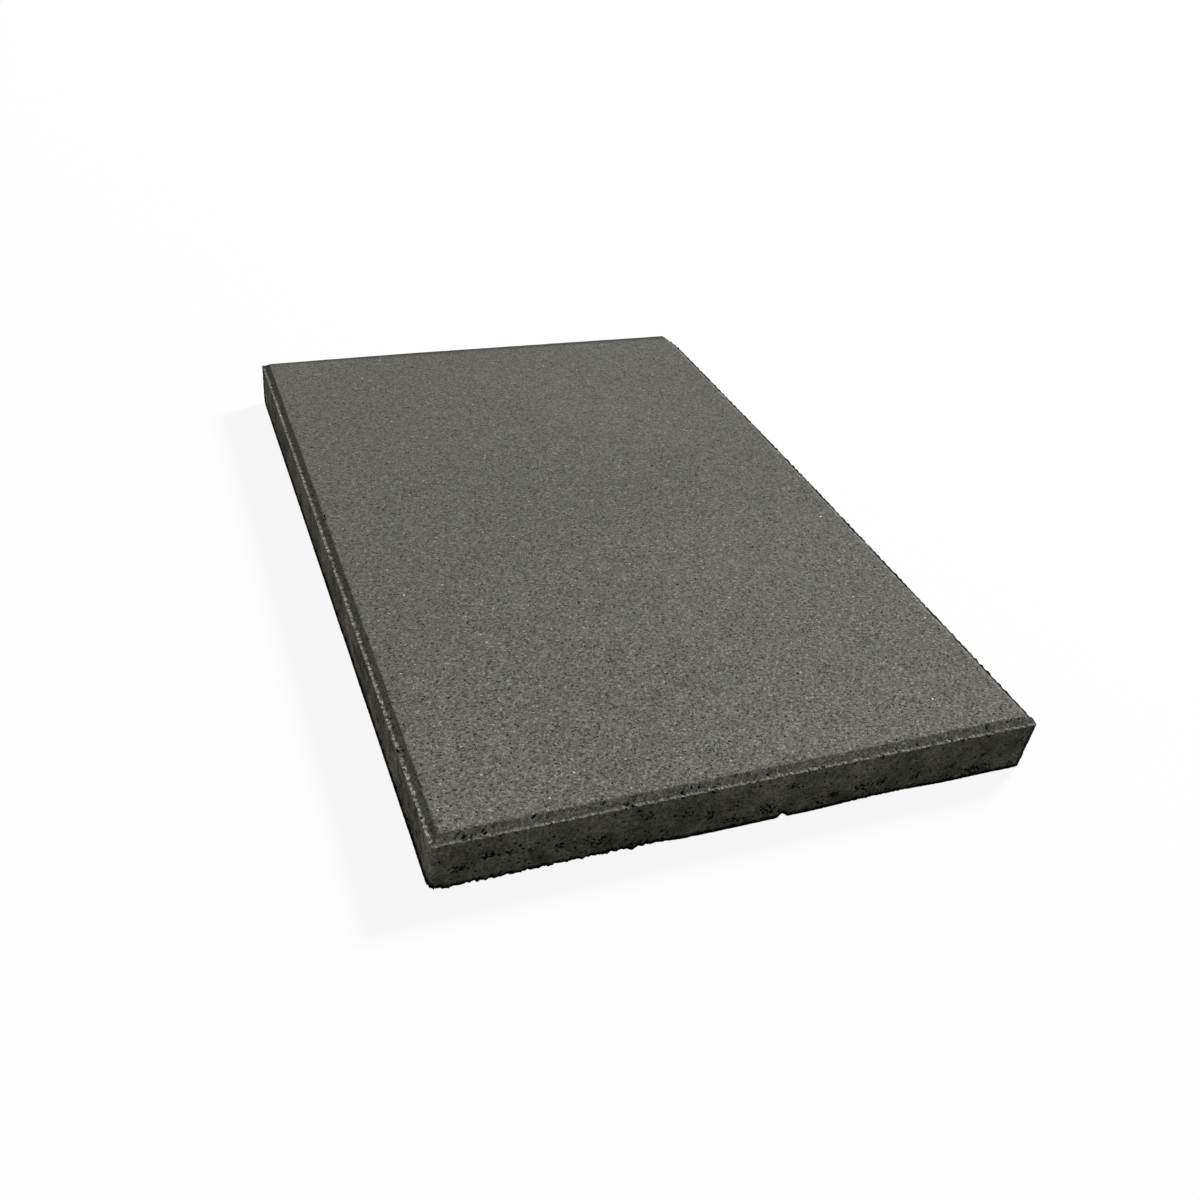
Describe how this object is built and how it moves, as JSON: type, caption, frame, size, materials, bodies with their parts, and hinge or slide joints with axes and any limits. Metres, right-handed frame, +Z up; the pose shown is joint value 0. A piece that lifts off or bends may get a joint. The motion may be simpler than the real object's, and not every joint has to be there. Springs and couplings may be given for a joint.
{
  "type": "concrete paving slab",
  "caption": "Flat rectangular concrete paving slab with a fine sandy top face, a narrow chamfer round the top edge and square upright sides.",
  "frame": {"origin": "middle of the bed face, the underside that the slab lies on", "axes": "+X across the slab's width, +Y along its length, +Z up through its top face"},
  "size_m": [0.4, 0.6, 0.04],
  "materials": {
    "concrete": "fine sandy cast surface, matt"
  },
  "bodies": {
    "root": {"slab": "concrete"}
  },
  "joints": []
}
